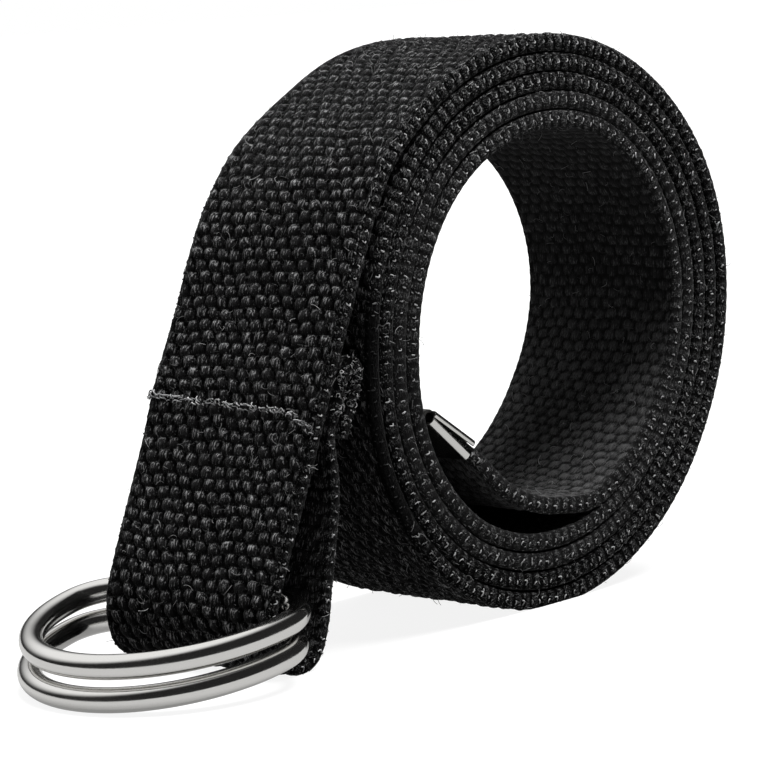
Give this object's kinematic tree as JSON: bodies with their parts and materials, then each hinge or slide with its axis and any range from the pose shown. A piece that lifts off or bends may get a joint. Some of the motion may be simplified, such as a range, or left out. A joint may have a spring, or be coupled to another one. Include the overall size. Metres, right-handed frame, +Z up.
{
  "type": "d-ring belt",
  "caption": "Rolled-up cotton webbing belt with a sewn loop at one end that holds wire D-rings, and a folded metal tip on the inner end.",
  "frame": {"origin": "middle of the belt's outline, on the surface that the coil stands on", "axes": "+X from the rings towards the coil, +Y from the coil's front rim to its back rim, along the roll's axis, +Z up"},
  "size_m": [0.1512, 0.0536, 0.1025],
  "materials": {
    "webbing": "black cotton plain weave, matt and slightly fuzzy",
    "ring_metal": "polished nickel plating",
    "tip_metal": "polished nickel plating on folded sheet"
  },
  "bodies": {
    "belt": {"strap": "webbing", "tip": "tip_metal"},
    "upper_ring": {"d_ring_upper": "ring_metal"},
    "lower_ring": {"d_ring_lower": "ring_metal"}
  },
  "joints": [
    {"name": "upper_ring_swing", "type": "hinge", "parent": "belt", "child": "upper_ring", "pos_m": [-0.04054, 0.00121, 0.0121], "axis": [-0.1564, 0.9877, 0], "range_deg": [0, 100]},
    {"name": "lower_ring_swing", "type": "hinge", "parent": "belt", "child": "lower_ring", "pos_m": [-0.04114, 0.00161, 0.00675], "axis": [-0.1564, 0.9877, 0], "range_deg": [-80, 0]}
  ]
}
